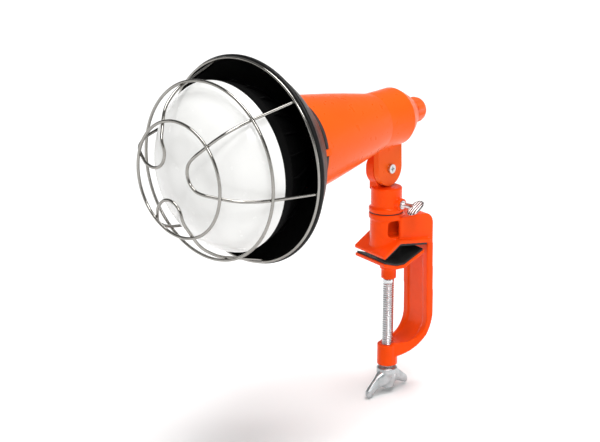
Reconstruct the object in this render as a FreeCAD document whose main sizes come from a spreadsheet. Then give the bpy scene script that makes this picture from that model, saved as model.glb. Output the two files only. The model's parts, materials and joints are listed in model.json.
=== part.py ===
import FreeCAD, Part
import math
import os
import Sketcher

# Clamp-on work light with a caged opal lamp.
#
# Frame: millimetres, +Z up.  The origin is on the axis of the clamp's post, in the plane of the
# flat lands at the tips of the upper jaw.  The throat opens towards -Y and the column stands at +Y.
#
# The head has a frame of its own: its Z runs forward along the lamp axis, its Y points up and its
# origin is the point of the lamp axis straight above the tilt bolt.  The swivel sleeve has the
# post's Z and an X along the tilt bolt.

SIZES = (
    # stance
    ("pan_angle", 13.4, "swing of the head from the throat's direction"),
    ("tilt_angle", 2.1, "droop of the head below level"),
    ("pivot_height", 90, "tilt bolt above the jaw lands"),
    ("axis_above_pivot", 53.4, "lamp axis above the tilt bolt"),
    ("rim_ahead", 206, "rim of the shade ahead of the tilt bolt"),
    # shade, its neck and its twist-lock collar
    ("rim_radius", 100, "outside of the rolled rim"),
    ("bead_radius", 2.3, "section of the rolled rim"),
    ("shade_wall", 1.2, "sheet thickness"),
    ("neck_radius", 44.5, "outside of the shade's neck"),
    ("neck_back", 134, "back of the neck"),
    ("neck_front", 146, "where the bell starts"),
    ("bell_curve", 210, "radius of the bell's flank"),
    ("collar_radius", 47, "outside of the collar's sleeve"),
    ("collar_flange", 49.6, "outside of the collar's flange"),
    ("collar_back", 134, "back of the collar's sleeve"),
    ("collar_front", 146, "front face of the collar's flange"),
    ("collar_notch", 8, "width of the twist-lock notches"),
    # housing
    ("housing_front", 143, "front edge of the painted housing"),
    ("housing_front_radius", 49.4, "radius there"),
    ("mouth_radius", 47.3, "mouth that takes the collar"),
    ("mouth_floor", 131, "floor of the mouth"),
    ("mouth_ledge", 43, "inside of the floor's ledge"),
    ("tab_turn", 2.5, "first twist-lock tab from the tilt bolt's direction"),
    ("tab_count", 3, "twist-lock tabs"),
    ("tab_length", 5, "reach of the tabs ahead of the housing"),
    ("tab_width", 6.5, "width of the tabs"),
    ("waist_front", 26, "front of the waist"),
    ("waist_radius", 29.9, "radius at both ends of the waist"),
    ("waist_curve", 900, "hollow of the waist"),
    ("flank_curve", 1500, "swell of the flank ahead of the waist"),
    ("waist_back", -10, "back of the waist"),
    ("tail_back", -34, "back face of the housing"),
    ("tail_radius", 15.5, "radius of the back face"),
    ("tail_curve", 160, "rounding into the back face"),
    ("housing_wall", 1.8, "wall thickness"),
    ("ledge_front", 80, "front of the ledge that carries the lampholder strap"),
    ("ledge_depth", 4, "depth of the ledge"),
    ("ledge_radius", 29, "inside of the ledge"),
    # cable gland
    ("gland_thread", 8, "radius of the gland thread"),
    ("gland_bore", 6.5, "bore of the gland body"),
    ("gland_back", -49, "back end of the gland body"),
    ("gland_flange", 10.6, "radius of the gland flange"),
    ("gland_nut_radius", 13.4, "outside of the gland nut"),
    ("gland_nut_back", -54, "back face of the gland nut"),
    ("gland_nut_tip", 7, "radius of that face"),
    ("gland_nut_flutes", 8, "hollows round the gland nut"),
    ("cable_radius", 4, "bore of the gland seal"),
    # lampholder
    ("holder_radius", 21, "outside of the lampholder"),
    ("holder_back", 82, "back of the lampholder"),
    ("holder_front", 134, "front of the lampholder"),
    ("holder_bore", 14.5, "bore of the lampholder"),
    ("holder_floor", 104, "floor of the bore"),
    ("strap_length", 68, "lampholder strap"),
    ("strap_width", 16, "lampholder strap"),
    ("strap_thick", 2, "lampholder strap"),
    # lamp
    ("cap_radius", 13.1, "screw cap of the lamp"),
    ("cap_back", 110, "back of the screw cap"),
    ("lamp_neck_radius", 27, "neck of the lamp body"),
    ("lamp_neck_front", 150, "front of the neck"),
    ("lamp_back_radius", 78.6, "widest part of the lamp body"),
    ("lamp_front", 235.9, "front of the lamp body"),
    ("lamp_wall", 2, "wall of the lamp body"),
    ("fin_count", 24, "cooling fins round the lamp body"),
    ("board_radius", 71, "light board"),
    ("board_thick", 1.6, "light board"),
    ("dome_centre", 225.5, "centre of the dome's ellipse"),
    ("dome_radius", 82.5, "dome across the axis"),
    ("dome_depth", 57.5, "dome along the axis"),
    ("dome_wall", 2, "dome thickness"),
    ("dome_edge", 236, "back edge of the dome"),
    ("dome_spigot", 75.8, "spigot of the dome inside the lamp body"),
    # guard
    ("wire_radius", 1.5, "guard wire"),
    ("guard_rim_radius", 97.2, "ring on the shade's rim"),
    ("guard_rim_ahead", 3.7, "that ring ahead of the rim"),
    ("guard_mid_radius", 83.8, "middle ring"),
    ("guard_mid_ahead", 48.3, "middle ring ahead of the rim"),
    ("guard_front_radius", 54, "front ring"),
    ("guard_front_ahead", 84.4, "front ring ahead of the rim"),
    ("loop_ahead", 89.6, "tips of the hairpins ahead of the rim"),
    ("loop_tip_radius", 20, "tips of the hairpins from the axis"),
    ("hairpin_turn", 17.5, "first hairpin from the tilt bolt's direction"),
    ("hairpin_half_angle", 26.5, "half the angle between a hairpin's legs"),
    ("leg_shoulder_radius", 78.8, "first bend of a hairpin's leg from the axis"),
    ("leg_shoulder_ahead", 56, "that bend ahead of the rim"),
    ("leg_brow_radius", 65.2, "second bend of the leg from the axis"),
    ("leg_brow_ahead", 75.8, "that bend ahead of the rim"),
    # knuckle
    ("ear_radius", 18.5, "round ears"),
    ("lug_near", 4.6, "outer face of the head's lug"),
    ("lug_seam", -2, "inner face of the head's lug"),
    ("ear_seam", -3, "inner face of the sleeve's ear"),
    ("ear_foot", 12, "half the foot of the sleeve's ear"),
    ("ear_far", -13.5, "outer face of the sleeve's ear"),
    ("tilt_bolt_radius", 2.5, "tilt bolt"),
    ("bolt_head_radius", 4.8, "head of the tilt bolt"),
    ("bolt_head_depth", 3.2, "head of the tilt bolt"),
    ("nut_flats", 8, "tilt nut across flats"),
    ("nut_depth", 4, "tilt nut"),
    # swivel sleeve and its lock
    ("sleeve_radius", 16.4, "outside of the sleeve"),
    ("sleeve_bead_radius", 18.5, "foot bead"),
    ("sleeve_bottom", 43.8, "foot of the sleeve"),
    ("sleeve_bead_top", 50, "top of the foot bead"),
    ("sleeve_top", 70.4, "top of the sleeve"),
    ("sleeve_bore", 11.07, "bore of the sleeve"),
    ("lock_height", 54, "thumb screw above the jaw lands"),
    ("lock_boss_radius", 6.5, "boss round the thumb screw"),
    ("lock_boss_end", 22, "outer face of the boss"),
    ("thumb_radius", 3, "thumb screw shank"),
    ("thumb_tip", 12.5, "inner end of the thumb screw"),
    ("paddle_centre", 39, "middle of the thumb screw's paddle"),
    ("paddle_reach", 7, "half the paddle along the shank"),
    ("paddle_half", 11.5, "half the paddle across the shank"),
    ("paddle_half_thick", 2.2, "half the paddle's thickness"),
    ("paddle_turn", 28, "turn of the paddle about the shank"),
    # clamp casting
    ("post_radius", 17, "post"),
    ("post_flange_radius", 18.5, "flange that carries the sleeve"),
    ("post_flange_bottom", 37, "underside of the flange"),
    ("post_top", 43, "top of the flange"),
    ("spindle_radius", 11, "spindle inside the sleeve"),
    ("spindle_top", 66, "top of the spindle"),
    ("groove_radius", 9.3, "groove for the lock shoe"),
    ("groove_half", 3.6, "half the groove's width"),
    ("frame_width", 42, "width of the casting"),
    ("arm_front", 3.5, "front edge of the arm's walls"),
    ("arm_top", 40, "top of the arm"),
    ("arm_corner", 11, "rounded corner over the column"),
    ("arm_wall", 4.5, "side walls of the arm"),
    ("web_half", 5, "half the web between post and column"),
    ("window_front", -8, "front of the side windows"),
    ("window_bottom", 18.5, "bottom of the side windows"),
    ("window_top", 36, "top of the side windows"),
    ("window_corner", 4.5, "corner radius of the side windows"),
    ("column_front", 39.5, "inner face of the column at the arm"),
    ("column_back", 46.5, "outer face of the column at the arm"),
    ("column_lean", 3, "how far its outer face leans out at the bend"),
    ("column_inner_lean", 2, "how far its inner face leans out there"),
    ("bend_height", -70, "where the outer bend starts"),
    ("bend_outer", 49, "outer bend radius"),
    ("throat_floor", -103, "bottom of the throat"),
    ("bend_inner", 25, "inner bend radius"),
    ("flute_half", 13, "half the flute in the column's inner face"),
    ("flute_depth", 1.4, "depth of that flute"),
    ("jaw_width", 53, "both jaws"),
    ("land_front", -21.5, "front of the upper jaw's land"),
    ("land_back", -19.5, "back of the upper jaw's land"),
    ("jaw_apex", 13.4, "apex of the upper jaw's underside"),
    ("jaw_rear", 8.6, "upper jaw's underside at the column"),
    ("jaw_plate", 4.4, "upright thickness of the upper jaw"),
    ("boss_radius", 11, "screw boss"),
    ("boss_bottom", -128.5, "bottom of the screw boss"),
    ("boss_top", -105, "top of the screw boss"),
    ("screw_offset", 4.5, "clamp screw behind the post axis"),
    ("pad_thick", 2, "rubber jaw linings"),
    # moving jaw, screw and handle
    ("vee_front", -20.5, "front tip of the moving jaw"),
    ("vee_front_height", -5, "top of that tip"),
    ("vee_floor_front", -4, "front of the flat floor"),
    ("vee_floor_back", 6, "back of the flat floor"),
    ("vee_floor", -10, "top of the flat floor"),
    ("vee_back", 31.5, "rear tip of the moving jaw"),
    ("vee_back_height", 2.4, "top of that tip"),
    ("vee_plate", 3.8, "upright thickness of the moving jaw"),
    ("socket_flange", 9.5, "flange of the socket"),
    ("socket_step", -20, "underside of that flange"),
    ("socket_radius", 8, "socket"),
    ("socket_bottom", -30.8, "bottom of the socket"),
    ("screw_radius", 6, "clamp screw"),
    ("screw_fit", 0.06, "clearance round the clamp screw"),
    ("screw_neck", 4, "neck of the screw inside the socket"),
    ("screw_tip", -15.5, "top of the screw's neck"),
    ("screw_shoulder", -31.2, "top of the threaded shank"),
    ("screw_end", -152, "bottom of the screw"),
    ("ring_height", -18.5, "middle of the retaining ring"),
    ("hub_top", -131.5, "top of the wing handle's hub"),
    ("hub_bottom", -155, "bottom of the hub"),
    ("hub_top_radius", 11.5, "hub at its top"),
    ("hub_bottom_radius", 8, "hub at its bottom"),
    ("wing_reach", 33, "tip of each wing from the screw"),
    ("wing_half_thick", 3.4, "half the wing's thickness"),
    ("wing_turn", 103, "turn of the wings about the screw"),
)

doc = FreeCAD.newDocument("WorkLight")
sheet = doc.addObject("Spreadsheet::Sheet", "Sizes")
for row, (alias, number, meaning) in enumerate(SIZES, start=1):
    sheet.set(f"A{row}", meaning)
    sheet.set(f"B{row}", str(number))
    sheet.setAlias(f"B{row}", alias)
doc.recompute()

X_AXIS = FreeCAD.Vector(1, 0, 0)
Y_AXIS = FreeCAD.Vector(0, 1, 0)
Z_AXIS = FreeCAD.Vector(0, 0, 1)
ROOT = FreeCAD.Placement()
sub_parts = []


def size(alias):
    """The number that a cell of the sheet holds."""
    return float(getattr(sheet, alias))


def turned_about(axis, degrees):
    return FreeCAD.Rotation(axis, degrees)


pan = turned_about(Z_AXIS, size("pan_angle"))
SWIVEL = FreeCAD.Placement(FreeCAD.Vector(), pan)
head_turn = pan.multiply(turned_about(X_AXIS, 90 + size("tilt_angle")))
pivot = FreeCAD.Vector(0, 0, size("pivot_height"))
lift = head_turn.multVec(FreeCAD.Vector(0, size("axis_above_pivot"), 0))
HEAD = FreeCAD.Placement(pivot + lift, head_turn)


def keep(obj, name, placement):
    """Give a finished sub-part its name and its place, and list it for export."""
    obj.Label = name
    obj.Placement = placement
    sub_parts.append(obj)
    return obj


def cell(text):
    """A formula that may name cells of the sheet as [alias]."""
    return text.replace("[", "Sizes.").replace("]", "")


def solve(owner, text):
    return float(owner.evalExpression(cell(text)))


# ---------------------------------------------------------------- bodies with sketches


def new_body(name, placement=ROOT):
    body = doc.addObject("PartDesign::Body", "Body_" + name)
    return keep(body, name, placement)


def new_sketch(body, role, offset=None):
    """A sketch on one of the body's own origin planes, moved along its normal by a formula."""
    plane = next(item for item in body.Origin.OriginFeatures if item.Role == role)
    sketch = body.newObject("Sketcher::SketchObject", "Sketch")
    sketch.AttachmentSupport = [(plane, "")]
    sketch.MapMode = "FlatFace"
    if offset:
        sketch.setExpression("AttachmentOffset.Base.z", cell(offset))
    return sketch


def pin_point(sketch, index, end, across, up, point):
    """Hold one end of a sketch edge at a place given by two formulas."""
    for kind, formula, number in (("DistanceX", across, point.x), ("DistanceY", up, point.y)):
        row = sketch.addConstraint(Sketcher.Constraint(kind, -1, 1, index, end, number))
        sketch.setExpression(f"Constraints[{row}]", cell(formula))


def arc_between(start, finish, radius):
    """The short arc from start to finish; a negative radius turns clockwise."""
    chord = finish - start
    reach = abs(radius)
    height = math.sqrt(max(reach ** 2 - (chord.Length / 2) ** 2, 0))
    left = FreeCAD.Vector(-chord.y, chord.x, 0).normalize()
    side = 1 if radius > 0 else -1
    centre = start + chord * 0.5 + left * (height * side)
    ends = (start, finish) if radius > 0 else (finish, start)
    angles = [math.atan2(end.y - centre.y, end.x - centre.x) for end in ends]
    return Part.ArcOfCircle(Part.Circle(centre, Z_AXIS, reach), angles[0], angles[1])


def outline(sketch, corners, arcs=None):
    """A closed outline through corners, each two formulas; arcs names a side's radius."""
    arcs = arcs or {}
    places = [FreeCAD.Vector(solve(sketch, a), solve(sketch, b), 0) for a, b in corners]
    count = len(corners)
    starts = []
    for step in range(count):
        start, finish = places[step], places[(step + 1) % count]
        if step in arcs:
            radius = solve(sketch, arcs[step])
            index = sketch.addGeometry(arc_between(start, finish, radius))
            if (finish - start).Length > 1.9999 * abs(radius):
                sketch.addConstraint(Sketcher.Constraint("Symmetric", index, 1, index, 2, index, 3))
            else:
                row = sketch.addConstraint(Sketcher.Constraint("Radius", index, abs(radius)))
                sketch.setExpression(f"Constraints[{row}]", cell("abs(" + arcs[step] + ")"))
            starts.append((index, 1, 2) if radius > 0 else (index, 2, 1))
        else:
            index = sketch.addGeometry(Part.LineSegment(start, finish))
            starts.append((index, 1, 2))
    for step in range(count):
        index, first, last = starts[step]
        follower, follower_first, _ = starts[(step + 1) % count]
        sketch.addConstraint(Sketcher.Constraint("Coincident", index, last, follower,
                                                 follower_first))
        pin_point(sketch, index, first, corners[step][0], corners[step][1], places[step])


def circle(sketch, across, up, radius):
    """A circle whose centre and radius are formulas."""
    centre = FreeCAD.Vector(solve(sketch, across), solve(sketch, up), 0)
    index = sketch.addGeometry(Part.Circle(centre, Z_AXIS, solve(sketch, radius)))
    row = sketch.addConstraint(Sketcher.Constraint("Radius", index, solve(sketch, radius)))
    sketch.setExpression(f"Constraints[{row}]", cell(radius))
    pin_point(sketch, index, 3, across, up, centre)


def feature(body, kind, sketch, **formulas):
    made = body.newObject("PartDesign::" + kind, kind)
    made.Profile = sketch
    for name, formula in formulas.items():
        made.setExpression(name, cell(formula))
    sketch.Visibility = False
    return made


def spin(body, corners, arcs=None, kind="Revolution"):
    """Turn an outline of radius and height about the body's Z."""
    sketch = new_sketch(body, "XZ_Plane")
    outline(sketch, corners, arcs)
    made = feature(body, kind, sketch)
    made.ReferenceAxis = (sketch, ["V_Axis"])
    return made


def spin_bead(body, radius, height, section):
    """Turn a circle about the body's Z."""
    sketch = new_sketch(body, "XZ_Plane")
    circle(sketch, radius, height, section)
    made = feature(body, "Revolution", sketch)
    made.ReferenceAxis = (sketch, ["V_Axis"])
    return made


def pad(body, role, corners, length, arcs=None, middle=False, offset=None, kind="Pad"):
    """Raise, or with Pocket cut, an outline along the plane's normal."""
    sketch = new_sketch(body, role, offset)
    outline(sketch, corners, arcs)
    made = feature(body, kind, sketch, Length=length)
    if kind == "Pocket":
        made.Reversed = True
    made.Midplane = middle
    return made


def round_pad(body, role, across, up, radius, length, offset=None, kind="Pad"):
    """Raise, or with Pocket cut, a circle along the plane's normal."""
    sketch = new_sketch(body, role, offset)
    circle(sketch, across, up, radius)
    made = feature(body, kind, sketch, Length=length)
    if kind == "Pocket":
        made.Reversed = True
    return made


def polar(body, original, count):
    """Repeat a feature round the body's Z."""
    axis = next(item for item in body.Origin.OriginFeatures if item.Role == "Z_Axis")
    pattern = body.newObject("PartDesign::PolarPattern", "PolarPattern")
    pattern.Originals = [original]
    pattern.Axis = (axis, [""])
    pattern.Angle = 360
    pattern.setExpression("Occurrences", cell(count))
    body.Tip = pattern
    return pattern


def rectangle(low_across, high_across, low_up, high_up):
    return [(low_across, low_up), (high_across, low_up), (high_across, high_up),
            (low_across, high_up)]


def tube(name, placement, inner, outer, bottom, top):
    """A turned ring of square section."""
    body = new_body(name, placement)
    spin(body, rectangle(inner, outer, bottom, top))
    return body


# ---------------------------------------------------------------- primitives and booleans


def primitive(kind, at, axis, **formulas):
    obj = doc.addObject("Part::" + kind, kind)
    obj.Placement = FreeCAD.Placement(FreeCAD.Vector(), FreeCAD.Rotation(Z_AXIS, axis))
    for letter, formula in zip("xyz", at):
        obj.setExpression("Placement.Base." + letter, cell(formula))
    for name, formula in formulas.items():
        obj.setExpression(name, cell(formula))
    return obj


def rod(at, axis, radius, length):
    return primitive("Cylinder", at, axis, Radius=radius, Height=length)


def block(at, length, width, height):
    return primitive("Box", at, Z_AXIS, Length=length, Width=width, Height=height)


def hexagon(at, axis, flats, height):
    return primitive("Prism", at, axis, Circumradius=f"({flats}) / sqrt(3)", Height=height)


def fuse(*shapes):
    made = doc.addObject("Part::MultiFuse", "Fuse")
    made.Shapes = list(shapes)
    return made


def cut(base, tool):
    made = doc.addObject("Part::Cut", "Cut")
    made.Base = base
    made.Tool = tool
    return made


def group(*shapes):
    """Separate solids that share one node, each keeping its own offset from the node's frame."""
    made = doc.addObject("Part::Compound", "Group")
    made.Links = list(shapes)
    return made


# ---------------------------------------------------------------- shade, collar, housing


def make_shade():
    body = new_body("shade", HEAD)
    bead = "([rim_radius] - [bead_radius])"
    spin(body, [("[neck_radius] - [shade_wall]", "[neck_back]"),
                ("[neck_radius]", "[neck_back]"),
                ("[neck_radius]", "[neck_front]"),
                (bead, "[rim_ahead] - [bead_radius]"),
                (bead, "[rim_ahead]"),
                ("[neck_radius] - [shade_wall]", "[neck_front] + [shade_wall] / 2")],
         arcs={2: "[bell_curve]", 4: "-[bell_curve] + [shade_wall]"})
    spin_bead(body, bead, "[rim_ahead]", "[bead_radius]")


def make_collar():
    """A sleeve on the shade's neck whose flange sits on the housing and notches round its tabs."""
    body = new_body("shade_collar", HEAD)
    spin(body, [("[neck_radius]", "[collar_back]"), ("[collar_radius]", "[collar_back]"),
                ("[collar_radius]", "[housing_front] + 0.2"),
                ("[collar_flange]", "[housing_front] + 0.2"),
                ("[collar_flange]", "[collar_front] - 0.8"),
                ("[collar_flange] - 0.8", "[collar_front]"), ("[neck_radius]", "[collar_front]")])
    notch = tab_pad(body, "[collar_radius] - 1", "[collar_flange] + 2", "[collar_notch]",
                    "[housing_front] - 1", "[tab_length] + 2", kind="Pocket")
    polar(body, notch, "[tab_count]")
    tube("shade_gasket", HEAD, "[mouth_ledge] + 0.4", "[collar_radius]", "[mouth_floor]",
         "[collar_back]")


def tab_pad(body, inner, outer, width, bottom, length, kind="Pad"):
    """Raise or cut a block that stands at the first tab's place round the axis."""
    turn = "[tab_turn] * 1deg"
    corners = []
    for reach, side in ((inner, "-"), (outer, "-"), (outer, ""), (inner, "")):
        half = f"({side}({width}) / 2)"
        corners.append((f"({reach}) * cos({turn}) - {half} * sin({turn})",
                        f"({reach}) * sin({turn}) + {half} * cos({turn})"))
    return pad(body, "XY_Plane", corners, length, offset=bottom, kind=kind)


def make_housing():
    body = new_body("lamp_housing", HEAD)
    wall = "[housing_wall]"
    inside = ("([waist_radius] + ([housing_front_radius] - [waist_radius])"
              " * ({0} - [waist_front]) / ([housing_front] - [waist_front]) - [housing_wall])")
    ledge_back = "([ledge_front] - [ledge_depth])"
    spin(body, [("[housing_front_radius]", "[housing_front]"), ("[mouth_radius]", "[housing_front]"),
                ("[mouth_radius]", "[mouth_floor]"), ("[mouth_ledge]", "[mouth_floor]"),
                (inside.format("[mouth_floor]") + " - 3", "[mouth_floor] - 8"),
                (inside.format("[ledge_front]"), "[ledge_front]"),
                ("[ledge_radius]", "[ledge_front]"),
                ("[ledge_radius]", ledge_back),
                (inside.format(ledge_back), ledge_back),
                ("[waist_radius] - " + wall, "[waist_front]"),
                ("[waist_radius] - " + wall, "[waist_back]"),
                ("[tail_radius] - 1.5", "[tail_back] + " + wall),
                ("[gland_thread] + 0.2", "[tail_back] + " + wall),
                ("[gland_thread] + 0.2", "[tail_back]"),
                ("[tail_radius]", "[tail_back]"),
                ("[waist_radius]", "[waist_back]"),
                ("[waist_radius]", "[waist_front]")],
         arcs={9: "[waist_curve]", 10: "-[tail_curve] + [housing_wall]",
               14: "[tail_curve]", 15: "-[waist_curve]", 16: "[flank_curve]"})
    tab = tab_pad(body, "[collar_radius] + 0.4", "[housing_front_radius] - 0.1", "[tab_width]",
                  "[housing_front] - 4", "[tab_length] + 4")
    polar(body, tab, "[tab_count]")
    half = "[ear_radius]"
    foot = "[lug_near] - [lug_seam]"
    drop = "-[axis_above_pivot]"
    root_height = "-[waist_radius] + 1.6"
    pad(body, "YZ_Plane", [(drop, "-" + half), (root_height, "-" + half), (root_height, half),
                           (drop, half)],
        foot, arcs={3: half}, offset="[lug_seam]")
    doc.recompute()
    round_pad(body, "YZ_Plane", drop, "0", "[tilt_bolt_radius] + 0.07", foot + " + 2",
              offset="[lug_seam] - 1", kind="Pocket")


def make_gland():
    body = new_body("gland_body", HEAD)
    flange_back = "([tail_back] - 3)"
    spin(body, [("[gland_bore]", "[gland_back]"), ("[gland_thread]", "[gland_back]"),
                ("[gland_thread]", flange_back), ("[gland_flange]", flange_back),
                ("[gland_flange]", "[tail_back]"), ("[gland_thread]", "[tail_back]"),
                ("[gland_thread]", "[tail_back] + 8"), ("[gland_bore]", "[tail_back] + 8")])
    nut = hexagon(("0", "0", "[tail_back] + [housing_wall]"), Z_AXIS, "22", "3")
    hole = rod(("0", "0", "[tail_back]"), Z_AXIS, "[gland_thread]", "8")
    keep(cut(nut, hole), "gland_locknut", HEAD)
    tube("gland_seal", HEAD, "[cable_radius]", "[gland_bore]", "[gland_back]", "[gland_back] + 11")
    body = new_body("gland_nut", HEAD)
    spin(body, [("[gland_bore] - 0.6", "[gland_nut_back]"),
                ("[gland_nut_tip]", "[gland_nut_back]"),
                ("[gland_nut_radius]", "[gland_nut_back] + 9"),
                ("[gland_nut_radius]", flange_back + " - 0.3"),
                ("[gland_thread] + 0.2", flange_back + " - 0.3"),
                ("[gland_thread] + 0.2", "[gland_back] - 0.2"),
                ("[gland_bore] - 0.6", "[gland_back] - 0.2")], arcs={1: "9"})
    flute = round_pad(body, "XY_Plane", "[gland_nut_radius] + 4.4", "0", "5.6", "30",
                      offset="[gland_nut_back] - 2", kind="Pocket")
    polar(body, flute, "[gland_nut_flutes]")


# ---------------------------------------------------------------- lampholder and lamp


def make_lampholder():
    body = new_body("lampholder_body", HEAD)
    spin(body, [("0", "[holder_back]"), ("[holder_radius]", "[holder_back]"),
                ("[holder_radius]", "[holder_back] + 14"),
                ("[holder_radius] - 2", "[holder_back] + 16"),
                ("[holder_radius] - 2", "[holder_front]"), ("[holder_bore]", "[holder_front]"),
                ("[holder_bore]", "[holder_floor]"), ("0", "[holder_floor]")])
    tube("lampholder_shell", HEAD, "[cap_radius] + 0.3", "[holder_bore] - 0.2", "[holder_floor]",
         "[holder_front] - 2")
    keep(group(rod(("0", "0", "[holder_floor]"), Z_AXIS, "5", "2")), "lampholder_contact", HEAD)
    strap = block(("-[strap_length] / 2", "-[strap_width] / 2", "[ledge_front]"),
                  "[strap_length]", "[strap_width]", "[strap_thick]")
    strap_hole = rod(("0", "0", "[ledge_front] - 1"), Z_AXIS, "6", "4")
    keep(cut(strap, strap_hole), "lampholder_strap", HEAD)
    heads = []
    for side in ("-", ""):
        heads.append(rod((side + "31.5", "0", "[holder_back]"), Z_AXIS, "2.2", "2.4"))
    keep(group(*heads), "strap_screws", HEAD)
    blocks = []
    for side in ("-", ""):
        blocks.append(block(("-4", side + "13 - 3", "[holder_back] - 7"), "8", "6", "7"))
    keep(group(*blocks), "wire_terminals", HEAD)


def make_lamp():
    tube("lamp_cap", HEAD, "[cap_radius] - 0.6", "[cap_radius]", "[cap_back]", "[holder_front]")
    body = new_body("cap_insulator", HEAD)
    spin(body, [("0", "[cap_back] - 2.4"), ("5", "[cap_back] - 2.4"),
                ("[cap_radius] - 0.6", "[cap_back]"), ("0", "[cap_back]")])
    tip = rod(("0", "0", "[holder_floor] + 2"), Z_AXIS, "4", "[cap_back] - [holder_floor] - 4.4")
    keep(group(tip), "cap_contact", HEAD)
    body = new_body("lamp_body", HEAD)
    spin(body, [("[cap_radius] - 2", "[holder_front] + 0.4"),
                ("[cap_radius] + 3", "[holder_front] + 0.4"),
                ("[lamp_neck_radius]", "[lamp_neck_front]"),
                ("[lamp_back_radius]", "[lamp_front] - 12"),
                ("[lamp_back_radius]", "[lamp_front]"),
                ("[dome_spigot] + 0.1", "[lamp_front]"),
                ("[dome_spigot] + 0.1", "[lamp_front] - 6"),
                ("[board_radius] + 0.5", "[lamp_front] - 6"),
                ("[board_radius] + 0.5", "[lamp_front] - 10"),
                ("[board_radius] - 2", "[lamp_front] - 12"),
                ("[lamp_back_radius] - [lamp_wall]", "[lamp_front] - 13"),
                ("[lamp_neck_radius] - [lamp_wall]", "[lamp_neck_front] + 1"),
                ("[cap_radius] - 2", "[holder_front] + 3")],
         arcs={2: "160", 10: "-160"})
    fin = pad(body, "XZ_Plane",
              [("[lamp_neck_radius] - 1", "[lamp_neck_front] + 1"),
               ("[lamp_neck_radius] + 5", "[lamp_neck_front] + 2"),
               ("[lamp_back_radius]", "[lamp_front] - 20"),
               ("[lamp_back_radius]", "[lamp_front] - 10"),
               ("[lamp_back_radius] - 6", "[lamp_front] - 12")],
              "1.2", middle=True, arcs={1: "180"})
    polar(body, fin, "[fin_count]")
    driver = block(("-12", "-1", "[lamp_neck_front] + 1"), "24", "2", "50")
    keep(group(driver), "driver_board", HEAD)
    board = rod(("0", "0", "[lamp_front] - 10"), Z_AXIS, "[board_radius]", "[board_thick]")
    keep(group(board), "light_board", HEAD)
    chips = []
    for ring, count in ((20, 6), (40, 12), (60, 18)):
        for step in range(count):
            turn = math.radians(360 * step / count)
            across, up = ring * math.cos(turn), ring * math.sin(turn)
            chips.append(block((f"{across:.3f} - 1.5", f"{up:.3f} - 1.5",
                                "[lamp_front] - 10 + [board_thick]"), "3", "3", "1"))
    keep(group(*chips), "light_chips", HEAD)


def make_dome():
    """An opal cap with a flat back edge and a spigot that snaps into the lamp body."""
    middle = ("0", "0", "[dome_centre]")
    outer = primitive("Ellipsoid", middle, Z_AXIS, Radius1="[dome_depth]",
                      Radius2="[dome_radius]", Radius3="[dome_radius]")
    inner = primitive("Ellipsoid", middle, Z_AXIS, Radius1="[dome_depth] - [dome_wall]",
                      Radius2="[dome_radius] - [dome_wall]",
                      Radius3="[dome_radius] - [dome_wall]")
    behind = rod(("0", "0", "[dome_edge] - 100"), Z_AXIS, "200", "100")
    cap = cut(cut(outer, inner), behind)
    inside = rod(("0", "0", "[dome_edge] - 10"), Z_AXIS, "[dome_spigot] - [dome_wall]", "20")
    flange = rod(("0", "0", "[dome_edge]"), Z_AXIS, "[dome_radius] - [dome_wall]", "[dome_wall]")
    spigot = rod(("0", "0", "[dome_edge] - 5"), Z_AXIS, "[dome_spigot]", "6")
    keep(fuse(cap, cut(fuse(flange, spigot), inside)), "diffuser_dome", HEAD)


# ---------------------------------------------------------------- guard


def make_guard_rings():
    for name in ("rim", "mid", "front"):
        ring = primitive("Torus", ("0", "0", f"[rim_ahead] + [guard_{name}_ahead]"), Z_AXIS,
                         Radius1=f"[guard_{name}_radius]", Radius2="[wire_radius]")
        keep(group(ring), f"guard_{name}_ring", HEAD)


def rounded_path(points, radii):
    """Straight runs joined by tangent arcs, as one list of edges."""
    edges = []
    start = points[0]
    for step, radius in enumerate(radii, start=1):
        corner = points[step]
        back = (points[step - 1] - corner).normalize()
        ahead = (points[step + 1] - corner).normalize()
        half = back.getAngle(ahead) / 2
        trim = radius / math.tan(half)
        first, last = corner + back * trim, corner + ahead * trim
        bisector = (back + ahead).normalize()
        centre = corner + bisector * (radius / math.sin(half))
        middle = centre - bisector * radius
        edges.append(Part.LineSegment(start, first).toShape())
        edges.append(Part.Arc(first, middle, last).toShape())
        start = last
    edges.append(Part.LineSegment(start, points[-1]).toShape())
    return edges


def make_hairpins():
    """Three bent wires: two legs welded inside the rings and a rounded loop at the front."""
    half = math.radians(size("hairpin_half_angle"))
    rim = size("rim_ahead")
    loop_height = rim + size("loop_ahead")
    loop_middle = size("loop_tip_radius") / (1 - math.sin(half))
    loop_radius = loop_middle * math.sin(half)
    tangent = loop_middle * math.cos(half)
    profile = [(size("guard_rim_radius") - 2.7, rim + size("guard_rim_ahead") + 0.6),
               (size("leg_shoulder_radius"), rim + size("leg_shoulder_ahead")),
               (size("leg_brow_radius"), rim + size("leg_brow_ahead")),
               (tangent + 6, loop_height), (tangent, loop_height)]

    def leg(side):
        turn = side * half
        return [FreeCAD.Vector(r * math.cos(turn), r * math.sin(turn), h) for r, h in profile]

    bends = (60, 40, 20)
    first, last = leg(-1), leg(1)
    tip = FreeCAD.Vector(loop_middle - loop_radius, 0, loop_height)
    edges = rounded_path(first, bends)
    edges.append(Part.Arc(first[-1], tip, last[-1]).toShape())
    edges += rounded_path(list(reversed(last)), tuple(reversed(bends)))
    path = Part.Wire(Part.__sortEdges__(edges))
    along = (first[1] - first[0]).normalize()
    section = Part.Wire(Part.Circle(first[0], along, size("wire_radius")).toShape())
    hairpin = path.makePipeShell([section], True, False)
    for number in range(3):
        turn = turned_about(Z_AXIS, size("hairpin_turn") + 120 * number)
        wire = doc.addObject("Part::Feature", "Hairpin")
        wire.Shape = hairpin
        keep(wire, f"guard_hairpin_{number + 1}", HEAD.multiply(FreeCAD.Placement(
            FreeCAD.Vector(), turn)))


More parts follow.
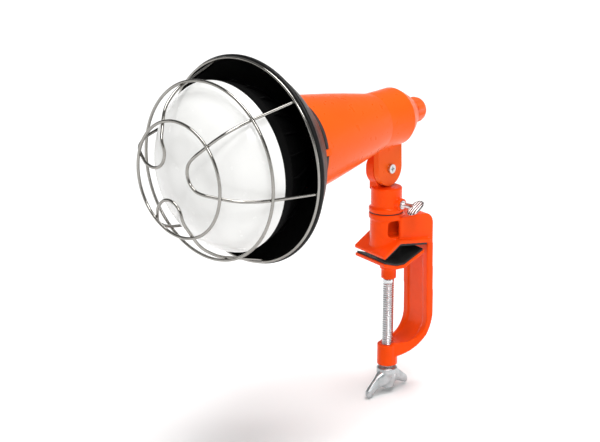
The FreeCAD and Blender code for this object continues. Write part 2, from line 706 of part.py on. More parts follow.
# ---------------------------------------------------------------- swivel and knuckle


def make_swivel():
    body = new_body("swivel_sleeve", SWIVEL)
    spin(body, [("[sleeve_bore]", "[sleeve_bottom]"),
                ("[sleeve_bead_radius] - 0.8", "[sleeve_bottom]"),
                ("[sleeve_bead_radius]", "[sleeve_bottom] + 1"),
                ("[sleeve_bead_radius]", "[sleeve_bead_top] - 1.6"),
                ("[sleeve_radius]", "[sleeve_bead_top]"),
                ("[sleeve_radius]", "[sleeve_top] - 1.6"),
                ("[sleeve_radius] - 1.6", "[sleeve_top]"),
                ("0", "[sleeve_top]"),
                ("0", "[spindle_top] + 0.8"),
                ("[sleeve_bore]", "[spindle_top] + 0.8")], arcs={5: "1.6"})
    ear = "[ear_radius]"
    neck = "[pivot_height] - sqrt([ear_radius] ^ 2 - [ear_foot] ^ 2)"
    pad(body, "YZ_Plane", [("-[ear_foot]", "[sleeve_top] - 3"), ("[ear_foot]", "[sleeve_top] - 3"),
                           ("[ear_foot]", neck), ("0", "[pivot_height] + " + ear),
                           ("-[ear_foot]", neck)],
        "[ear_seam] - [ear_far]", arcs={2: ear, 3: ear}, offset="[ear_far]")
    round_pad(body, "YZ_Plane", "0", "[lock_height]", "[lock_boss_radius]",
              "[lock_boss_end] - 12.6", offset="12.6")
    doc.recompute()
    round_pad(body, "YZ_Plane", "0", "[lock_height]", "[thumb_radius] + 0.5",
              "10", offset="8", kind="Pocket")
    round_pad(body, "YZ_Plane", "0", "[lock_height]", "[thumb_radius] + 1.5",
              "12", offset="16", kind="Pocket")
    round_pad(body, "YZ_Plane", "0", "[pivot_height]", "[tilt_bolt_radius] + 0.07",
              "20", offset="[ear_far] - 2", kind="Pocket")
    nut_corner = "(([nut_flats] + 0.3) / sqrt(3))"
    corners = []
    for step in range(6):
        corners.append((f"{nut_corner} * cos({60 * step + 30}deg)",
                        f"[pivot_height] + {nut_corner} * sin({60 * step + 30}deg)"))
    pad(body, "YZ_Plane", corners, "[nut_depth] + 2", offset="[ear_far] - 2", kind="Pocket")
    insert = new_body("lock_insert", SWIVEL)
    sketch = new_sketch(insert, "YZ_Plane", "16")
    circle(sketch, "0", "[lock_height]", "[thumb_radius] + 1.45")
    circle(sketch, "0", "[lock_height]", "[thumb_radius] + 0.06")
    feature(insert, "Pad", sketch, Length="[lock_boss_end] - 16 + 0.4")


def make_knuckle_hardware():
    pivot_at = ("[ear_seam] + 0.05", "0", "[pivot_height]")
    disc = rod(pivot_at, X_AXIS, "[ear_radius] - 2", "[lug_seam] - [ear_seam] - 0.1")
    hole = rod(pivot_at, X_AXIS, "[tilt_bolt_radius] + 0.07", "4")
    keep(cut(disc, hole), "friction_disc", SWIVEL)
    shank = rod(("[ear_far] + 0.2", "0", "[pivot_height]"), X_AXIS, "[tilt_bolt_radius]",
                "[lug_near] - [ear_far] + 0.4")
    head = rod(("[lug_near] + 0.1", "0", "[pivot_height]"), X_AXIS, "[bolt_head_radius]",
               "[bolt_head_depth]")
    slots = []
    for width, height in (("1.2", "5"), ("5", "1.2")):
        slots.append(block(("[lug_near] + [bolt_head_depth] - 1.5", f"-{width} / 2",
                            f"[pivot_height] - {height} / 2"), "4", width, height))
    keep(cut(fuse(shank, head), fuse(*slots)), "tilt_bolt", SWIVEL)
    nut = hexagon(("[ear_far]", "0", "[pivot_height]"), X_AXIS, "[nut_flats]", "[nut_depth] - 0.1")
    thread = rod(("[ear_far] - 1", "0", "[pivot_height]"), X_AXIS, "[tilt_bolt_radius]",
                 "[nut_depth] + 2")
    keep(cut(nut, thread), "tilt_nut", SWIVEL)


def make_thumb_screw():
    """The screw's own Z runs out along its shank, and its X along the paddle."""
    turn = turned_about(Y_AXIS, 90).multiply(turned_about(Z_AXIS, 90 + size("paddle_turn")))
    place = FreeCAD.Placement(FreeCAD.Vector(0, 0, size("lock_height")), turn)
    body = new_body("thumb_screw", SWIVEL.multiply(place))
    spin(body, [("0", "[thumb_tip]"), ("[thumb_radius] - 0.8", "[thumb_tip]"),
                ("[thumb_radius]", "[thumb_tip] + 0.8"), ("[thumb_radius]", "[paddle_centre]"),
                ("0", "[paddle_centre]")])
    low, high = "[paddle_centre] - 2", "[paddle_centre] + 2"
    bulge = "(([paddle_half] ^ 2 + ([paddle_reach] - 2) ^ 2) / (2 * ([paddle_reach] - 2)))"
    pad(body, "XZ_Plane", [("-[paddle_half]", low), ("[paddle_half]", low),
                           ("[paddle_half]", high), ("-[paddle_half]", high)],
        "2 * [paddle_half_thick]", middle=True, arcs={0: bulge, 2: bulge})
    shoe_place = SWIVEL.multiply(FreeCAD.Placement(place.Base, turned_about(Y_AXIS, 90)))
    shoe = new_body("lock_shoe", shoe_place)
    spin(shoe, rectangle("0", "2.4", "[groove_radius] + 0.15", "[thumb_tip] - 0.05"))


# ---------------------------------------------------------------- clamp


def make_clamp_frame():
    body = new_body("clamp_frame")
    outer_back = "([column_back] + [column_lean])"
    inner_back = "([column_front] + [column_inner_lean])"
    pad(body, "YZ_Plane",
        [("[arm_front]", "[arm_top]"), ("[arm_front]", "[jaw_apex]"),
         ("[column_front]", "[jaw_rear]"), (inner_back, "[throat_floor] + [bend_inner]"),
         (inner_back + " - [bend_inner]", "[throat_floor]"), ("[screw_offset]", "[throat_floor]"),
         ("[screw_offset]", "[bend_height] - [bend_outer]"),
         (outer_back + " - [bend_outer] + 5", "[bend_height] - [bend_outer] + 0.2"),
         (outer_back, "[bend_height]"), ("[column_back]", "[arm_top] - [arm_corner]"),
         ("[column_back] - [arm_corner]", "[arm_top]")],
        "[frame_width]", middle=True,
        arcs={3: "-[bend_inner]", 7: "[bend_outer]", 9: "[arm_corner]"})
    rise = "[jaw_plate]"
    pad(body, "YZ_Plane",
        [("[land_front]", "0"), ("[land_back]", "0"), ("0", "[jaw_apex]"),
         ("[column_front] + 1", "[jaw_rear]"), ("[column_front] + 1", "[jaw_rear] + " + rise),
         ("0", "[jaw_apex] + " + rise), ("[land_front]", "[jaw_plate] - 1.2")],
        "[jaw_width]", middle=True)
    low = "[lock_height] - [groove_half]"
    high = "[lock_height] + [groove_half]"
    spin(body, [("0", "1"), ("[post_radius]", "1"),
                ("[post_radius]", "[post_flange_bottom] - 1"),
                ("[post_flange_radius]", "[post_flange_bottom] + 0.5"),
                ("[post_flange_radius]", "[post_top] - 0.8"),
                ("[post_flange_radius] - 0.8", "[post_top]"),
                ("[spindle_radius]", "[post_top]"), ("[spindle_radius]", low),
                ("[groove_radius]", low), ("[groove_radius]", high), ("[spindle_radius]", high),
                ("[spindle_radius]", "[spindle_top] - 1"), ("[spindle_radius] - 1", "[spindle_top]"),
                ("0", "[spindle_top]")])
    round_pad(body, "XY_Plane", "0", "[screw_offset]", "[boss_radius]",
              "[boss_top] - [boss_bottom]", offset="[boss_bottom]")
    doc.recompute()
    pad(body, "YZ_Plane",
        [("[land_back]", "-6"), ("[column_front] - 0.01", "-6"),
         ("[column_front] - 0.01", "[jaw_rear]"), ("0", "[jaw_apex]"), ("[land_back]", "0")],
        "[jaw_width] + 10", middle=True, kind="Pocket")
    turn_back, bend_top = inner_back + " - [bend_inner]", "[throat_floor] + [bend_inner]"
    pad(body, "YZ_Plane",
        [("[column_front] - 2", "-6"), (inner_back + " - 2", bend_top),
         (turn_back, "[throat_floor] + 2"), (turn_back, "[throat_floor] - [flute_depth]"),
         (inner_back + " + [flute_depth]", bend_top), ("[column_front] + [flute_depth]", "-6")],
        "2 * [flute_half]", middle=True, arcs={3: "[bend_inner] + [flute_depth]"}, kind="Pocket")
    for side in ("", "-"):
        near, far = side + "([web_half])", side + "([frame_width] / 2 - [arm_wall])"
        cut_windows(body, near, far, "[column_front] - 5")
        cut_windows(body, near, side + "([post_radius] + 1.5)", "[arm_front] + 0.01")
    edge = "[frame_width] / 2 + {0}"
    taper = pad(body, "XY_Plane", [(edge.format("0.1"), "[column_front] + 2"),
                                   ("[boss_radius] - 0.8", "[screw_offset] - 0.5"),
                                   (edge.format("4"), "[screw_offset] - 0.5"),
                                   (edge.format("4"), "[column_front] + 2")],
                "[bend_outer] + 20", offset="[bend_height] - [bend_outer] - 20", kind="Pocket")
    plane = next(item for item in body.Origin.OriginFeatures if item.Role == "YZ_Plane")
    mirrored = body.newObject("PartDesign::Mirrored", "Mirrored")
    mirrored.Originals = [taper]
    mirrored.MirrorPlane = (plane, [""])
    body.Tip = mirrored
    doc.recompute()
    round_pad(body, "XY_Plane", "0", "[screw_offset]", "[screw_radius] + [screw_fit]", "60",
              offset="[boss_bottom] - 2", kind="Pocket")


def cut_windows(body, near, far, back):
    """Hollow one side of the arm between the middle web and the side wall."""
    corner = "[window_corner]"
    low, high = "[window_bottom]", "[window_top]"
    front = "[window_front]"
    sketch = new_sketch(body, "YZ_Plane", near)
    outline(sketch, [(f"{front} + {corner}", low), (back, low), (back, high),
                     (f"{front} + {corner}", high), (front, f"{high} - {corner}"),
                     (front, f"{low} + {corner}")], arcs={3: corner, 5: corner})
    made = feature(body, "Pocket", sketch, Length=f"abs({far} - {near})")
    made.Reversed = not near.startswith("-")


def make_linings():
    body = new_body("upper_lining")
    thick = "[pad_thick]"
    slope = "([jaw_apex] / [land_back])"
    rear_slope = "(([jaw_rear] - [jaw_apex]) / [column_front])"
    front, back = "([land_back] + 3.4)", "([column_front] - 4)"
    pad(body, "YZ_Plane",
        [(front, f"[jaw_apex] - {slope} * {front} - 0.02"), ("0", "[jaw_apex] - 0.02"),
         (back, f"[jaw_apex] + {rear_slope} * {back} - 0.02"),
         (back, f"[jaw_apex] + {rear_slope} * {back} - {thick}"),
         ("0", f"[jaw_apex] - {thick} * 1.1"),
         (front, f"[jaw_apex] - {slope} * {front} - {thick} * 1.1")],
        "[jaw_width] - 3", middle=True)
    body = new_body("lower_lining")
    front, back = "([vee_front] + 1.5)", "([vee_back] - 1.5)"
    front_slope = "(([vee_front_height] - [vee_floor]) / ([vee_front] - [vee_floor_front]))"
    back_slope = "(([vee_back_height] - [vee_floor]) / ([vee_back] - [vee_floor_back]))"
    low_front = f"[vee_floor] + {front_slope} * ({front} - [vee_floor_front])"
    low_back = f"[vee_floor] + {back_slope} * ({back} - [vee_floor_back])"
    pad(body, "YZ_Plane",
        [(front, low_front), ("[vee_floor_front]", "[vee_floor]"),
         ("[vee_floor_back]", "[vee_floor]"), (back, low_back), (back, f"{low_back} + {thick}"),
         ("[vee_floor_back]", f"[vee_floor] + {thick}"),
         ("[vee_floor_front]", f"[vee_floor] + {thick}"), (front, f"{low_front} + {thick}")],
        "[jaw_width] - 3", middle=True)


def make_moving_jaw():
    body = new_body("moving_jaw")
    thick = "[vee_plate]"
    pad(body, "YZ_Plane",
        [("[vee_front]", f"[vee_front_height] - {thick}"),
         ("[vee_floor_front]", f"[vee_floor] - {thick}"),
         ("[vee_floor_back]", f"[vee_floor] - {thick}"),
         ("[vee_back]", f"[vee_back_height] - {thick}"), ("[vee_back]", "[vee_back_height]"),
         ("[vee_floor_back]", "[vee_floor]"), ("[vee_floor_front]", "[vee_floor]"),
         ("[vee_front]", "[vee_front_height]")],
        "[jaw_width]", middle=True)
    round_pad(body, "XY_Plane", "0", "[screw_offset]", "[socket_radius]",
              "[vee_floor] - 1 - [socket_bottom]", offset="[socket_bottom]")
    round_pad(body, "XY_Plane", "0", "[screw_offset]", "[socket_flange]",
              "[vee_floor] - 1 - [socket_step]", offset="[socket_step]")
    doc.recompute()
    round_pad(body, "XY_Plane", "0", "[screw_offset]", "[screw_neck] + [screw_fit]",
              "[screw_tip] + 1 - [socket_bottom] + 2", offset="[socket_bottom] - 2", kind="Pocket")
    round_pad(body, "XY_Plane", "0", "[screw_offset]", "[screw_neck] + 1.6", "2.4",
              offset="[ring_height] - 1.2", kind="Pocket")


def make_screw():
    place = FreeCAD.Placement(FreeCAD.Vector(0, size("screw_offset"), 0), FreeCAD.Rotation())
    body = new_body("clamp_screw", place)
    ring_low, ring_high = "[ring_height] - 0.55", "[ring_height] + 0.55"
    spin(body, [("0", "[screw_end]"), ("[screw_neck]", "[screw_end]"),
                ("[screw_neck]", "[hub_top] - 1"), ("[screw_radius]", "[hub_top] - 1"),
                ("[screw_radius]", "[screw_shoulder] - 0.8"),
                ("[screw_radius] - 0.8", "[screw_shoulder]"),
                ("[screw_neck]", "[screw_shoulder]"), ("[screw_neck]", ring_low),
                ("[screw_neck] - 0.8", ring_low), ("[screw_neck] - 0.8", ring_high),
                ("[screw_neck]", ring_high), ("[screw_neck]", "[screw_tip]"),
                ("0", "[screw_tip]")])
    ring = new_body("retaining_ring", place)
    spin(ring, rectangle("[screw_neck] - 0.8", "[screw_neck] + 1.2", ring_low, ring_high))
    handle_place = FreeCAD.Placement(place.Base, turned_about(Z_AXIS, size("wing_turn")))
    body = new_body("wing_handle", handle_place)
    spin(body, [("0", "[hub_bottom]"), ("[hub_bottom_radius]", "[hub_bottom]"),
                ("[hub_top_radius]", "[hub_top] - 6"), ("[hub_top_radius]", "[hub_top] - 2"),
                ("[hub_top_radius] - 2", "[hub_top]"), ("0", "[hub_top]")])
    pad(body, "XZ_Plane",
        [("-[wing_reach]", "[hub_top] - 24"), ("-[wing_reach] + 5", "[hub_top] - 28"),
         ("-[hub_bottom_radius]", "[hub_bottom] + 1"), ("[hub_bottom_radius]", "[hub_bottom] + 1"),
         ("[wing_reach] - 5", "[hub_top] - 28"), ("[wing_reach]", "[hub_top] - 24"),
         ("[wing_reach] - 1", "[hub_top] - 18.5"), ("[hub_top_radius] - 1", "[hub_top] - 4"),
         ("-[hub_top_radius] + 1", "[hub_top] - 4"), ("-[wing_reach] + 1", "[hub_top] - 18.5")],
        "2 * [wing_half_thick]", middle=True)
    doc.recompute()
    round_pad(body, "XY_Plane", "0", "0", "[screw_neck]", "[hub_top] - [screw_end] + 2",
              offset="[screw_end]", kind="Pocket")
    round_pad(body, "XY_Plane", "0", "0", "[screw_radius]", "4", offset="[hub_top] - 1",
              kind="Pocket")
    pin_at = ("0", "-[hub_top_radius] + 0.4", "[hub_top] - 8")
    pin = rod(pin_at, Y_AXIS, "1.5", "2 * [hub_top_radius] - 0.8")
    keep(group(pin), "handle_pin", handle_place)


def make_swivel_washer():
    tube("swivel_washer", ROOT, "[spindle_radius] + 0.1", "[post_flange_radius] - 0.8",
         "[post_top]", "[post_top] + 0.6")


make_shade()
make_collar()
make_housing()
make_gland()
make_lampholder()
make_lamp()
make_dome()
make_guard_rings()
make_hairpins()
make_swivel()
make_knuckle_hardware()
make_thumb_screw()
make_clamp_frame()
make_linings()
make_moving_jaw()
make_screw()
make_swivel_washer()
doc.recompute()

for obj in doc.Objects:
    if "Invalid" in obj.State or "Error" in obj.State:
        raise RuntimeError(f"{obj.Name} ({obj.Label}) failed: {obj.State}")
for part in sub_parts:
    if part.Shape.isNull() or not part.Shape.isValid():
        raise RuntimeError(f"{part.Label} has no valid shape")

os.makedirs("parts", exist_ok=True)
for part in sub_parts:
    part.Shape.exportStep(f"parts/{part.Label}.step")
    print(f"{part.Label:22s} solids {len(part.Shape.Solids)}  volume {part.Shape.Volume:10.1f}")
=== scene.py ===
import json
import math

import bmesh
import bpy
from mathutils import Matrix, Vector


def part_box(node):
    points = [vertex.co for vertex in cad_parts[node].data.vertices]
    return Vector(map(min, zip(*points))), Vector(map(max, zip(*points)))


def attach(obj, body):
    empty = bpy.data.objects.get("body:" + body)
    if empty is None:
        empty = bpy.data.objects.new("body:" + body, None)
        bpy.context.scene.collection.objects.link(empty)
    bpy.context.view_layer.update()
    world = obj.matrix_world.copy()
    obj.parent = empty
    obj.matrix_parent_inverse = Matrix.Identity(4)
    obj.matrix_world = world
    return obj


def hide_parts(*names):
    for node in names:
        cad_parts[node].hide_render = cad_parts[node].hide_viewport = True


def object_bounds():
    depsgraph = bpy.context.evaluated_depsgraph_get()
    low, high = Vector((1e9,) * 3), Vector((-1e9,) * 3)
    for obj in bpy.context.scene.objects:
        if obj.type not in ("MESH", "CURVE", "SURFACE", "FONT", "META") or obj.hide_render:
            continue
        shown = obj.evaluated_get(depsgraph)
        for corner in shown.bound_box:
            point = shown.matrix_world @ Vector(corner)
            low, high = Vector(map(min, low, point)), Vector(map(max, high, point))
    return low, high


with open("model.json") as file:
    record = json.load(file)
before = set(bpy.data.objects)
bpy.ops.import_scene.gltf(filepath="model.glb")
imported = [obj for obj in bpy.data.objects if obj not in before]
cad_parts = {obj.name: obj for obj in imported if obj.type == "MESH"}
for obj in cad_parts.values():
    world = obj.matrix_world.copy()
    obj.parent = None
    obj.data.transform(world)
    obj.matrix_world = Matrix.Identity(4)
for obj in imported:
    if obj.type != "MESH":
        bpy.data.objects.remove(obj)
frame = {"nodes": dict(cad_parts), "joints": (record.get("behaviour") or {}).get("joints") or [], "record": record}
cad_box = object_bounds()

# Looks of the clamp-on work light.  Everything is in metres, in the row frame: the origin is on the
# axis of the clamp's post, +Z is up, the throat opens to -Y and +X is the thumb screw's side.

MM = 0.001
UP = Vector((0, 0, 1))
JOINTS = {joint["name"]: joint for joint in frame["joints"]}
NODES = frame["nodes"]

TILT_AXIS = Vector(JOINTS["head_tilt"]["axis"]).normalized()
PIVOT = Vector(JOINTS["head_tilt"]["pos_m"])
LOCK_AT = Vector(JOINTS["lock_turn"]["pos_m"])
SCREW_AT = Vector(JOINTS["screw_turn"]["pos_m"])

HEAD_DROOP = math.radians(2.1)
AXIS_ABOVE_PIVOT = 53.4 * MM


def frame_matrix(across, up, along, place):
    """A frame whose X, Y and Z are the three directions given."""
    turn = Matrix((across, up, along)).transposed().to_4x4()
    return Matrix.Translation(place) @ turn


LEVEL_AHEAD = TILT_AXIS.cross(UP)
HEAD_AHEAD = LEVEL_AHEAD * math.cos(HEAD_DROOP) - UP * math.sin(HEAD_DROOP)
HEAD_UP = UP * math.cos(HEAD_DROOP) + LEVEL_AHEAD * math.sin(HEAD_DROOP)
HEAD_CENTRE = PIVOT + HEAD_UP * AXIS_ABOVE_PIVOT


# ---------------------------------------------------------------- materials


NOISE_LOW = 0.3
NOISE_HIGH = 0.7
SPREAD_SCALE = 120
LEAST_ROUGHNESS = 0.02


def shaded(colour, factor):
    """A colour made darker or lighter by a factor, as an opaque RGBA value."""
    return tuple(min(1, channel * factor) for channel in colour) + (1,)


def noise_field(tree, scale, detail):
    """A noise value that is fixed to the piece; scale counts features per metre."""
    place = tree.nodes.new("ShaderNodeTexCoord")
    field = tree.nodes.new("ShaderNodeTexNoise")
    field.inputs["Scale"].default_value = scale
    field.inputs["Detail"].default_value = detail
    tree.links.new(place.outputs["Object"], field.inputs["Vector"])
    return field.outputs["Fac"]


def vary_colour(tree, shader, colour, tint, scale):
    """Run the base colour between a darker and a lighter shade of itself."""
    ramp = tree.nodes.new("ShaderNodeValToRGB")
    dark_end, light_end = ramp.color_ramp.elements
    dark_end.position = NOISE_LOW
    dark_end.color = shaded(colour, 1 - tint)
    light_end.position = NOISE_HIGH
    light_end.color = shaded(colour, 1 + tint)
    tree.links.new(noise_field(tree, scale, 3), ramp.inputs["Fac"])
    tree.links.new(ramp.outputs["Color"], shader.inputs["Base Color"])


def vary_roughness(tree, shader, roughness, spread):
    """Run the roughness a little below and above its middle value."""
    remap = tree.nodes.new("ShaderNodeMapRange")
    remap.inputs["From Min"].default_value = NOISE_LOW
    remap.inputs["From Max"].default_value = NOISE_HIGH
    remap.inputs["To Min"].default_value = max(LEAST_ROUGHNESS, roughness - spread)
    remap.inputs["To Max"].default_value = roughness + spread
    tree.links.new(noise_field(tree, SPREAD_SCALE, 4), remap.inputs["Value"])
    tree.links.new(remap.outputs["Result"], shader.inputs["Roughness"])


def add_relief(tree, shader, layers):
    """Chain a bump for each layer of height, scale and detail whose height isn't 0."""
    normal = None
    for height, scale, detail in layers:
        if height:
            bump = tree.nodes.new("ShaderNodeBump")
            bump.inputs["Distance"].default_value = height
            tree.links.new(noise_field(tree, scale, detail), bump.inputs["Height"])
            if normal:
                tree.links.new(normal, bump.inputs["Normal"])
            normal = bump.outputs["Normal"]
    if normal:
        tree.links.new(normal, shader.inputs["Normal"])


def surface(name, colour, roughness, metallic=0, tint=0.05, tint_scale=45, spread=0.06,
            grain=0, grain_scale=900, lumps=0, lump_scale=120, **sockets):
    """A finish whose colour, roughness and relief vary by noise that is fixed to the piece.

    tint and spread are the reach of the colour's and the roughness's variation, grain and lumps
    the height of fine and coarse relief in metres, and each scale counts features per metre.
    """
    made = bpy.data.materials.new(name)
    made.use_nodes = True
    tree = made.node_tree
    shader = tree.nodes["Principled BSDF"]
    shader.inputs["Metallic"].default_value = metallic
    for socket, value in sockets.items():
        shader.inputs[socket.replace("_", " ")].default_value = value
    vary_colour(tree, shader, colour, tint, tint_scale)
    vary_roughness(tree, shader, roughness, spread)
    add_relief(tree, shader, ((lumps, lump_scale, 2), (grain, grain_scale, 3)))
    return made


ORANGE = (0.85, 0.105, 0.008)
RED_ORANGE = (0.86, 0.062, 0.003)
ORANGE_GLOSS = (1, 0.4, 0.12, 1)

LOOKS = {
    "head_paint": dict(colour=ORANGE, roughness=0.32, tint=0.04, tint_scale=20, grain=0.00003,
                       grain_scale=1400, lumps=0.00005, lump_scale=160, IOR=1.3,
                       Specular_Tint=ORANGE_GLOSS),
    "clamp_paint": dict(colour=RED_ORANGE, roughness=0.2, tint=0.08, tint_scale=35, spread=0.07,
                        grain=0.00002, grain_scale=1100, lumps=0.0002, lump_scale=90, IOR=1.35,
                        Specular_Tint=ORANGE_GLOSS, Coat_Weight=0.05, Coat_Roughness=0.03),
    "gland_plastic": dict(colour=ORANGE, roughness=0.38, grain=0.00003, grain_scale=1500),
    "shade_black": dict(colour=(0.004, 0.004, 0.004), roughness=0.4, Specular_IOR_Level=0.2,
                        tint=0.25, grain=0.00004, grain_scale=1500),
    "collar_black": dict(colour=(0.02, 0.02, 0.021), roughness=0.5, tint=0.2, grain=0.00005,
                         grain_scale=1200),
    "seal_rubber": dict(colour=(0.015, 0.015, 0.015), roughness=0.7, tint=0.2, grain=0.0001),
    "lining_rubber": dict(colour=(0.012, 0.012, 0.012), roughness=0.62, tint=0.25, grain=0.00015,
                          grain_scale=1000, lumps=0.0001, lump_scale=300),
    "lamp_black": dict(colour=(0.002, 0.002, 0.002), roughness=0.5, Specular_IOR_Level=0.08,
                       tint=0.25, grain=0.00004),
    "opal": dict(colour=(0.78, 0.78, 0.765), roughness=0.24, tint=0.015, tint_scale=14,
                 spread=0.04, grain=0.00001, grain_scale=700, Coat_Weight=0.2,
                 Coat_Roughness=0.15),
    "guard_wire": dict(colour=(0.30, 0.29, 0.27), roughness=0.1, metallic=1, tint=0.08,
                       tint_scale=90, spread=0.05, grain=0.00002, grain_scale=1800),
    "black_oxide": dict(colour=(0.02, 0.008, 0.006), roughness=0.5, tint=0.2, grain=0.00003),
    "zinc_plate": dict(colour=(0.62, 0.63, 0.64), roughness=0.3, metallic=1, tint=0.08,
                       grain=0.00003),
    "screw_steel": dict(colour=(0.68, 0.69, 0.70), roughness=0.26, metallic=1, tint=0.08,
                        grain=0.00002, grain_scale=1600),
    "thumb_zinc": dict(colour=(0.66, 0.64, 0.64), roughness=0.33, metallic=1, tint=0.1,
                       lumps=0.00006, lump_scale=500),
    "handle_zinc": dict(colour=(0.47, 0.50, 0.51), roughness=0.34, metallic=1, tint=0.14,
                        tint_scale=130, spread=0.1, grain=0.00008, grain_scale=1100,
                        lumps=0.0005, lump_scale=170),
    "contact_brass": dict(colour=(0.72, 0.53, 0.24), roughness=0.3, metallic=1, tint=0.08,
                          grain=0.00003),
    "cap_metal": dict(colour=(0.7, 0.7, 0.69), roughness=0.25, metallic=1, grain=0.00002),
    "cap_glass": dict(colour=(0.02, 0.02, 0.03), roughness=0.15, tint=0.2),
    "porcelain": dict(colour=(0.03, 0.016, 0.01), roughness=0.3, tint=0.03, Coat_Weight=0.6),
    "board_green": dict(colour=(0.03, 0.16, 0.06), roughness=0.35, tint=0.12, grain=0.00003),
    "board_white": dict(colour=(0.78, 0.78, 0.75), roughness=0.35, tint=0.04, grain=0.00003),
    "chip_yellow": dict(colour=(0.8, 0.62, 0.1), roughness=0.4, tint=0.08),
}
FINISHES = {name: surface(name, **look) for name, look in LOOKS.items()}


# ---------------------------------------------------------------- painted shade in a finish


VECTOR_MATHS = "ShaderNodeVectorMath"
PLAIN_MATHS = "ShaderNodeMath"
# Painted shade: near black on the inside faces of the lamp housing, standing for the shade deep inside it.
INSIDE_SHADE_LIMIT = -2 * MM
HOUSING_PAINTED_SHADE = (0.006, 0.006, 0.006, 1)
# Painted shade: a reddish dark in the valleys between the thumb screw's ribs.
VALLEY_PAINTED_SHADE = (0.07, 0.03, 0.025, 1)

# Places of a Mix node's sockets when it mixes colours.
MIX_FACTOR = 0
MIX_BELOW = 6
MIX_ABOVE = 7
MIX_RESULT = 2


def mix_over(made, factor, dark):
    """Lay a dark colour of painted shade over the finish's own colour, as far as a factor says."""
    tree = made.node_tree
    base = tree.nodes["Principled BSDF"].inputs["Base Color"]
    own_colour = base.links[0].from_socket
    mix = tree.nodes.new("ShaderNodeMix")
    mix.data_type = "RGBA"
    tree.links.new(factor, mix.inputs[MIX_FACTOR])
    tree.links.new(own_colour, mix.inputs[MIX_BELOW])
    mix.inputs[MIX_ABOVE].default_value = dark
    tree.links.new(mix.outputs[MIX_RESULT], base)


def maths(tree, node_type, operation, first, second, output="Value"):
    """The output of a maths node whose inputs are other nodes' outputs or plain values."""
    node = tree.nodes.new(node_type)
    node.operation = operation
    for socket, source in zip(node.inputs, (first, second)):
        if isinstance(source, bpy.types.NodeSocket):
            tree.links.new(source, socket)
        else:
            socket.default_value = source
    return node.outputs[output]


def paint_shade_inside(made, centre, axis, dark):
    """Mix in a dark colour as painted shade on faces that look towards the axis of a hollow casting, where its
    inside would lie in shade.
    """
    tree = made.node_tree
    place = tree.nodes.new("ShaderNodeTexCoord")
    facing = place.outputs["Normal"]
    arm = maths(tree, VECTOR_MATHS, "SUBTRACT", place.outputs["Object"], centre, "Vector")
    whole = maths(tree, VECTOR_MATHS, "DOT_PRODUCT", facing, arm)
    arm_along = maths(tree, VECTOR_MATHS, "DOT_PRODUCT", arm, axis)
    facing_along = maths(tree, VECTOR_MATHS, "DOT_PRODUCT", facing, axis)
    along = maths(tree, PLAIN_MATHS, "MULTIPLY", arm_along, facing_along)
    outward = maths(tree, PLAIN_MATHS, "SUBTRACT", whole, along)
    inside_shade_mask = maths(tree, PLAIN_MATHS, "LESS_THAN", outward, INSIDE_SHADE_LIMIT)
    mix_over(made, inside_shade_mask, dark)


def paint_valley_shade(made, dark):
    """Mix in a dark colour as painted shade where a mesh's stored valley values are high, between the ribs."""
    depth = made.node_tree.nodes.new("ShaderNodeAttribute")
    depth.attribute_name = "painted_valley_shade"
    mix_over(made, depth.outputs["Fac"], dark)


# Painted shade in the valleys between the thumb screw's ribs.
paint_valley_shade(FINISHES["thumb_zinc"], VALLEY_PAINTED_SHADE)
# Painted shade: near black on the housing's inside faces, where they would lie in shade behind the lamp.
paint_shade_inside(FINISHES["head_paint"], HEAD_CENTRE, HEAD_AHEAD, HOUSING_PAINTED_SHADE)


# ---------------------------------------------------------------- finishes on the CAD nodes


def wear(obj, finish):
    """Put a finish on an object, in place of what it has."""
    obj.data.materials.clear()
    obj.data.materials.append(FINISHES[finish])


for part in frame["record"]["subparts"]:
    wear(NODES[part["node"]], part["material_slot"])
wear(NODES["swivel_washer"], "black_oxide")


# ---------------------------------------------------------------- mesh helpers


RELAX_FACTOR = 0.5


def new_piece(name, mesh, body, slot, node):
    """Put a finished mesh in the scene as the stand-in of a CAD node."""
    piece = bpy.data.objects.new(name, mesh)
    bpy.context.scene.collection.objects.link(piece)
    wear(piece, slot)
    mesh.shade_smooth()
    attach(piece, body)
    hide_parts(node)


def settled(obj):
    """The object's mesh with its modifiers applied; the object itself is removed."""
    depsgraph = bpy.context.evaluated_depsgraph_get()
    mesh = bpy.data.meshes.new_from_object(obj.evaluated_get(depsgraph))
    bpy.data.objects.remove(obj)
    return mesh


def skinned(mesh, voxel, relax):
    """One skin over closed shells, with its edges rounded the way a mould leaves them."""
    obj = bpy.data.objects.new("skin", mesh)
    bpy.context.scene.collection.objects.link(obj)
    remesh = obj.modifiers.new("skin", "REMESH")
    remesh.mode = "VOXEL"
    remesh.voxel_size = voxel
    soften = obj.modifiers.new("soften", "SMOOTH")
    soften.factor = RELAX_FACTOR
    soften.iterations = relax
    return settled(obj)


def ring_surface(shell, rings, close_ends=True):
    """Join rings of points, all of one length, into a skin that is closed at its ends if asked."""
    loops = [[shell.verts.new(point) for point in ring] for ring in rings]
    count = len(loops[0])
    for low, high in zip(loops, loops[1:]):
        for step in range(count):
            after = (step + 1) % count
            shell.faces.new((low[step], low[after], high[after], high[step]))
    if close_ends:
        shell.faces.new(list(reversed(loops[0])))
        shell.faces.new(loops[-1])


def mesh_of(build, name, matrix=None):
    """A mesh made by a function that fills a bmesh, moved by the matrix if one is given."""
    shell = bmesh.new()
    build(shell)
    bmesh.ops.recalc_face_normals(shell, faces=shell.faces)
    if matrix is not None:
        bmesh.ops.transform(shell, matrix=matrix, verts=shell.verts)
    mesh = bpy.data.meshes.new(name)
    shell.to_mesh(mesh)
    shell.free()
    return mesh


def turns_of(count):
    """The angles of evenly spaced points around a ring."""
    return [math.tau * step / count for step in range(count)]


def circle_points(radius, height, count):
    """A ring of points around the Z axis."""
    return [Vector((radius * math.cos(turn), radius * math.sin(turn), height))
            for turn in turns_of(count)]


